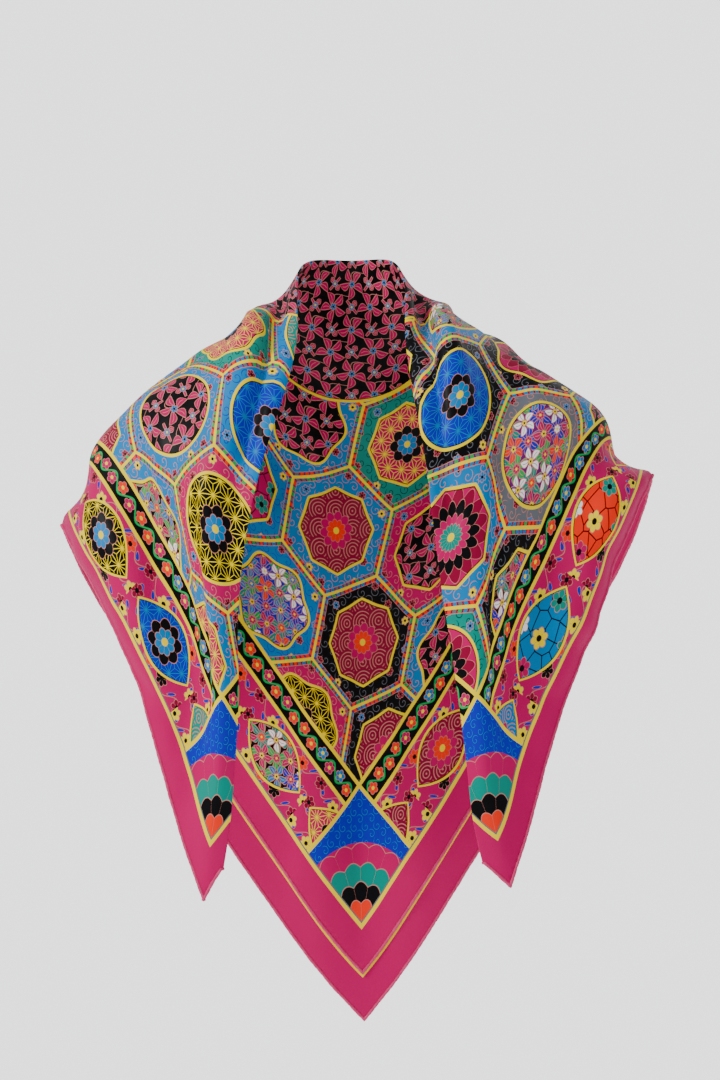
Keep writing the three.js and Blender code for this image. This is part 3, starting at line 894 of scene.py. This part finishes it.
def sprigs(base, x, y, pitch, petals, radius, colours, heart, seed):
    """Flowers scattered one to a cell, turned and coloured by chance."""
    px, i = cell(x, pitch)
    py, j = cell(y, pitch)
    first = chance(i, j, seed)
    second = chance(i, j, seed + 0.5)
    px = px + (first - 0.5) * (pitch * 0.3)
    py = py + (second - 0.5) * (pitch * 0.3)
    return blossom(base, px, py, petals, radius, pick(second, colours), heart, first * 6.0)


def vines(base, x, y, pitch, leaf):
    """Thin wandering stems with small paired leaves."""
    sway = calc("SINE", x * (2 * math.pi / pitch)) * (pitch * 0.22)
    across, row = cell(y + sway, pitch * 0.8)
    base = paint(base, size_of(across) < 0.5, CREAM)
    lx, i = cell(x, pitch / 3)
    side = turns_of(i)
    blade = distance(lx, (across - side * (pitch * 0.12)) * 1.7)
    blade = blade + size_of(lx) * 0.4
    base = paint(base, blade < pitch * 0.13 + 0.5, CREAM)
    return paint(base, blade < pitch * 0.13 - 0.2, leaf)


def hexagons(x, y, apothem):
    """The place in the nearest cell of a honeycomb, and two numbers that name the cell."""
    wide, high = 2 * apothem, 2 * apothem * math.sqrt(3)
    ax, ai = cell(x, wide)
    ay, aj = cell(y, high)
    bx, bi = cell(x + apothem, wide)
    by, bj = cell(y + high / 2, high)
    first = distance(ax, ay) < distance(bx, by)
    return [either(first, a, b) for a, b in ((ax, bx), (ay, by), (ai, bi + 0.5), (aj, bj + 0.5))]


def filling(u, v, kind, lot):
    """What fills a medallion or a cartouche, round its middle: one of six patterns."""

    def only(number):
        return size_of(kind - number) < 0.5

    moved = u + lot * 700
    fill = crackle(moved, v, 12.0, pick(lot, [SKY, MAGENTA, SKY, ORANGE]), BLACK)
    fill = sprigs(fill, u, v, 25.0, 6, 8.0, [MAGENTA, YELLOW, TEAL, WHITE], BLACK, FLOWER_SEED)
    greens, brights = [TEAL, GREEN, COBALT, TEAL], [ORANGE, SKY, MAGENTA, WHITE, MAGENTA]
    ground = pick(lot, [BLACK, COBALT, BLACK, PURPLE])
    fill = paint(fill, only(1), garden(moved, v, 21.0, ground, greens, brights))
    scales = waves(u, v, 12.0, pick(lot, [CRIMSON, TEAL, CRIMSON, SKY]), CREAM)
    fill = paint(fill, only(2), rosette(scales, u, v, 10, (17.0, 10.0), [MAGENTA, ORANGE]))
    night, star = pick(lot, [COBALT, BLACK, MAGENTA]), pick(lot, [SKY, YELLOW, YELLOW])
    stars = hemp_leaf(u, v, 13.0, night, star)
    fill = paint(fill, only(3), rosette(stars, u, v, 8, (17.0, 10.0), [BLACK, SKY]))
    fill = paint(fill, only(4), arabesque(u, v, 29.0, BLACK, MAGENTA, SKY))
    rounds = [CRIMSON, BLACK, MAGENTA, TEAL]
    return paint(fill, only(5), rosette(MAGENTA, u, v, 16, (34.0, 26.0, 17.0, 10.0), rounds))


def beads(base, u, v, lot, mask):
    """A beaded edge between two hexagons, with a line down its middle."""
    ax, ay = size_of(u), size_of(v)
    gap = HEXAGON - larger(ax, ax * 0.5 + ay * (math.sqrt(3) / 2))
    run, number = cell(calc("ARCTAN2", v, u) * HEXAGON, 2 * math.pi * HEXAGON / BEADS_ROUND)
    bead = distance(run, gap - BEADS * 0.3)
    hue = pick(chance(number, lot, BEAD_SEED), [SKY, ORANGE, GREEN, GREY])
    edge = paint(pick(lot, [PURPLE, CRIMSON]), bead < 1.7, hue)
    edge = paint(edge, gap < 1.3, YELLOW)
    edge = paint(edge, gap > BEADS / 2 - 0.6, CREAM)
    return paint(base, (gap < BEADS / 2) & mask, edge)


def printed(x, y):
    """The colour of the print at a place on the flat square."""
    far = larger(size_of(x), size_of(y))
    inward = HALF - far
    sideways = size_of(x) > size_of(y)
    along = either(sideways, y, x)
    side = sideways * 2 + (x + y > 0.0)
    across = inward - (BORDER + LINE + BAND / 2)

    # each place is in a hexagon, in the round in the middle, or in a length of the wide band
    in_band = far > FIELD + 2 * LINE + TRIM
    in_core = distance(x, y) < CORE
    hx, hy, i, j = hexagons(x, y, HEXAGON)
    place, number = cell(along, CARTOUCHE)
    u = either(in_band, place, either(in_core, x, hx))
    v = either(in_band, across, either(in_core, y, hy))
    i = either(in_band, number, i)
    j = either(in_band, side + 40.0, j)
    lot = chance(i, j, LOT_SEED)
    kind = calc("FLOOR", chance(i, j, KIND_SEED) * either(in_band, 4.0, 6.0))
    kind = either(in_core, 4.0, kind)

    # how far it is inside the outline of its medallion or cartouche
    away = distance(u, v)
    angle = calc("ARCTAN2", v, u)
    lobed = away - 2.4 * calc("COSINE", angle * 6)
    pointed = away + 3.2 * size_of(calc("SINE", angle * 4))
    shape = chance(i, j, SHAPE_SEED)
    medal = either(shape < 0.3, away, either(shape > 0.65, lobed, pointed))
    share = u / (CARTOUCHE * 0.42)
    oval = (BAND * 0.43) * (1 - share * share) - size_of(v)
    room = either(in_band, oval, either(in_core, CORE - away, MEDALLION - medal))

    fill = filling(u, v, kind, lot)
    hue = pick(lot, [SKY, BLACK, SKY, MAGENTA, SKY, TEAL, GREY])
    ground = scrolls(x, y, 10.0, hue, pick(lot, [CREAM, GREY, COBALT, CREAM, CREAM, BLACK, CREAM]))
    ground = paint(ground, in_band, vines(MAGENTA, along, across, 27.0, COBALT))
    radius = either(in_band, 6.4, 3.8)
    mixed = [CRIMSON, SKY, BLACK, ORANGE, GREY, YELLOW]
    ground = sprigs(ground, u, v, 21.0, 6, radius, mixed, BLACK, SPRIG_SEED)
    result = paint(ground, room > 0.0, YELLOW)
    result = paint(result, room > RIM, BLACK)
    result = paint(result, room > RIM + KEYLINE, fill)
    result = beads(result, hx, hy, lot, 1 - in_band - in_core)

    # the narrow trim: a running wave between flowers
    inner = inward - (BORDER + 2 * LINE + BAND + TRIM / 2)
    sway = calc("SINE", along * (2 * math.pi / WAVE)) * (TRIM * 0.26)
    trim = paint(BLACK, size_of(inner - sway) < 1.1, GREEN)
    bud, count = cell(along + WAVE / 4, WAVE / 2)
    turn = turns_of(count)
    hue = pick(chance(count, side, TRIM_SEED), [SKY, MAGENTA, ORANGE])
    trim = blossom(trim, bud, inner + turn * (TRIM * 0.1), 5, 5.4, hue, YELLOW)
    lines = paint(YELLOW, size_of(inner) < TRIM / 2, trim)
    result = paint(result, (far > FIELD) & (1 - in_band), lines)

    # each corner holds a fan that opens from its outer point
    start = HALF - BORDER - LINE
    cx, cy = start - size_of(x), start - size_of(y)
    fanned = fan(cx, cy, FAN_RADII, [ORANGE, BLACK, TEAL, MAGENTA], 4)
    corner = scrolls(x, y, 9.0, COBALT, SKY)
    corner = paint(corner, distance(cx, cy) < FAN_RADII[-1] + FAN_SCALLOP + CONTOUR, fanned)
    less = smaller(size_of(x), size_of(y))
    result = paint(result, less > FIELD, YELLOW)
    result = paint(result, less > FIELD + LINE, corner)
    result = paint(result, inward < BORDER + LINE + 1.2, GREY)
    result = paint(result, inward < BORDER + LINE, YELLOW)
    return paint(result, inward < BORDER, MAGENTA)


# The silk's relief and gloss
TWILL = 0.9  # from one rib to the next
TWILL_RISE = 0.012
RUMPLES = ((0.45, 0.05), (0.06, 0.5))  # how many to a millimetre, and their rise
RELIEF = 0.6
ROUGHNESS = 0.4
GLOSS = 0.08
DYE_SCALE = 0.02  # uneven depths of dye, to a millimetre
DYE_RANGE = 0.12
DYE_LEAST = 0.94


def silk_finish(shader, x, y):
    """Fine twill ribs, the unevenness of the threads and the soft rumples of worn silk."""
    height = calc("SINE", (x + y) * (2 * math.pi / TWILL)) * TWILL_RISE
    for scale, rise in RUMPLES:
        rough = new_node("ShaderNodeTexNoise", noise_dimensions="2D")
        rough.inputs["Scale"].default_value = scale
        rough.inputs["Detail"].default_value = 2.0
        feed(rough.inputs["Vector"], vector(x, y))
        height = height + Val(rough.outputs["Fac"]) * rise
    bump = new_node("ShaderNodeBump")
    bump.inputs["Strength"].default_value = RELIEF
    bump.inputs["Distance"].default_value = MM
    feed(bump.inputs["Height"], height)
    Tree.links.new(bump.outputs[0], shader.inputs["Normal"])


def start_material(name):
    material = bpy.data.materials.new(name)
    material.use_nodes = True
    Tree.nodes = material.node_tree.nodes
    Tree.links = material.node_tree.links
    shader = Tree.nodes["Principled BSDF"]
    shader.inputs["Roughness"].default_value = ROUGHNESS
    shader.inputs["Specular IOR Level"].default_value = GLOSS
    return material, shader


def flat_square():
    """x and y on the flat square, in millimetres."""
    node = new_node("ShaderNodeUVMap", uv_map="flat")
    parts = new_node("ShaderNodeSeparateXYZ")
    Tree.links.new(node.outputs[0], parts.inputs[0])
    return (Val(parts.outputs[0]) - 0.5) * SIDE, (Val(parts.outputs[1]) - 0.5) * SIDE


def print_material():
    """The printed twill, a little uneven in depth of colour."""
    material, shader = start_material("printed_silk")
    x, y = flat_square()
    print_colour = printed(x, y)
    depth = new_node("ShaderNodeTexNoise", noise_dimensions="2D")
    depth.inputs["Scale"].default_value = DYE_SCALE
    feed(depth.inputs["Vector"], vector(x, y))
    shade = Val(depth.outputs["Fac"]) * DYE_RANGE + DYE_LEAST
    tint = new_node("ShaderNodeVectorMath", operation="SCALE")
    feed(tint.inputs[0], print_colour)
    feed(tint.inputs["Scale"], shade)
    Tree.links.new(tint.outputs[0], shader.inputs["Base Color"])
    silk_finish(shader, x, y)
    return material


HEM_COLOURS = ("c8185e", "e05a86")
HEM_MOTTLE = 260.0  # to a metre
HEM_RELIEF = 0.4
HEM_RISE = 0.2


def hem_material():
    """The border's own colour, mottled at random with a paler pink."""
    material, shader = start_material("hem_silk")
    place = new_node("ShaderNodeTexCoord")
    mottle = new_node("ShaderNodeTexNoise")
    mottle.inputs["Scale"].default_value = HEM_MOTTLE
    Tree.links.new(place.outputs["Object"], mottle.inputs["Vector"])
    shade = new_node("ShaderNodeMix", data_type="RGBA")
    Tree.links.new(mottle.outputs["Fac"], shade.inputs[MIX_SHARE])
    for socket, colour in zip(MIX_COLOURS, HEM_COLOURS):
        shade.inputs[socket].default_value = srgb(colour)
    Tree.links.new(shade.outputs[2], shader.inputs["Base Color"])
    bump = new_node("ShaderNodeBump")
    bump.inputs["Strength"].default_value = HEM_RELIEF
    bump.inputs["Distance"].default_value = HEM_RISE * MM
    Tree.links.new(mottle.outputs["Fac"], bump.inputs["Height"])
    Tree.links.new(bump.outputs[0], shader.inputs["Normal"])
    return material


# Camera, at the photograph's height and distance, level
CAMERA_AWAY = 2.6
CAMERA_X = 0.0065
CAMERA_Z = -0.161
FRAME_HIGH = 0.880
SENSOR = 36.0
camera_data = bpy.data.cameras.new("camera")
camera_data.lens = SENSOR * CAMERA_AWAY / FRAME_HIGH
camera_data.sensor_width = SENSOR
camera = bpy.data.objects.new("camera", camera_data)
camera.location = (CAMERA_X, -CAMERA_AWAY, CAMERA_Z)
camera.rotation_euler = (math.pi / 2, 0, 0)
bpy.context.scene.collection.objects.link(camera)
bpy.context.scene.camera = camera

silk = cloth()
silk.data.materials.append(print_material())

# The hems, as (s, t, turn) at each corner of their runs
UNDER_RIGHT = [(CELLS, 1, 0), (UNDER, 0, 0), (UNDER, 0, math.pi), (0, UNDER, math.pi)]
UNDER_LEFT = [(0, UNDER, math.pi), (-UNDER, 0, math.pi), (-UNDER, 0, 0), (-CELLS, 1, 0)]
hems = [
    hem("rolled_left", [(-CELLS, 1, 0), (0, OUTER, 0)]),
    hem("rolled_right", [(0, OUTER, 0), (CELLS, 1, 0)]),
    hem("rolled_under_right", UNDER_RIGHT),
    hem("rolled_under_left", UNDER_LEFT),
]
hem_silk = hem_material()
for piece in hems:
    piece.data.materials.append(hem_silk)
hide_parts("cloth_left_front", "cloth_back", "cloth_right_front")
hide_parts("hem_outer_left")
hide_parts("hem_outer_right")
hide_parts("hem_under_right", "hem_tip_right")
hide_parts("hem_under_left", "hem_tip_left")


FLOOR_COLOUR = (0.8, 0.8, 0.81, 1)
FLOOR_ROUGHNESS = 0.9
FLOOR_GLOW = 0.6


def floor_material():
    material = bpy.data.materials.new("pale_floor")
    material.use_nodes = True
    shader = material.node_tree.nodes["Principled BSDF"]
    shader.inputs["Base Color"].default_value = FLOOR_COLOUR
    shader.inputs["Roughness"].default_value = FLOOR_ROUGHNESS
    shader.inputs["Emission Color"].default_value = (1, 1, 1, 1)
    shader.inputs["Emission Strength"].default_value = FLOOR_GLOW
    return material


# The floor, a pale disc far enough down to stay out of the level view
FLOOR_DROP = 1.3
FLOOR_RADIUS = 3.5
FLOOR_SIDES = 96
angles = [2 * math.pi * k / FLOOR_SIDES for k in range(FLOOR_SIDES)]
floor_mesh = bpy.data.meshes.new("floor")
floor_points = [(FLOOR_RADIUS * math.cos(a), FLOOR_RADIUS * math.sin(a), -FLOOR_DROP) for a in angles]
floor_mesh.from_pydata(floor_points, [], [list(range(FLOOR_SIDES))])
floor = bpy.data.objects.new("floor", floor_mesh)
floor.data.materials.append(floor_material())
bpy.context.scene.collection.objects.link(floor)

# Soft light from all round, before a paler backdrop
SKYLIGHT = 0.65
BACKDROP = 2.2
SKY_TINT = (0.985, 0.99, 1.0, 1)
world = bpy.data.worlds.new("world")
world.use_nodes = True
Tree.nodes = world.node_tree.nodes
Tree.links = world.node_tree.links
light_path = new_node("ShaderNodeLightPath")
seen = Val(light_path.outputs["Is Camera Ray"])
background = Tree.nodes["Background"]
background.inputs["Color"].default_value = SKY_TINT
feed(background.inputs["Strength"], either(seen, BACKDROP, SKYLIGHT))
bpy.context.scene.world = world


LIGHT_AIM = (0, 0, -0.2)


def area_light(name, place, size, power):
    """A square soft light that faces the middle of the scarf."""
    data = bpy.data.lights.new(name, "AREA")
    data.shape = "SQUARE"
    data.size = size
    data.energy = power
    light = bpy.data.objects.new(name, data)
    light.location = place
    away = np.array(place) - np.array(LIGHT_AIM)
    light.rotation_euler = (
        math.acos(away[2] / np.linalg.norm(away)),
        0,
        math.atan2(away[1], away[0]) + math.pi / 2,
    )
    bpy.context.scene.collection.objects.link(light)


area_light("key", (-2.0, -1.15, 1.35), 0.8, 56)
area_light("rim", (1.6, 1.9, 1.5), 1.2, 8)
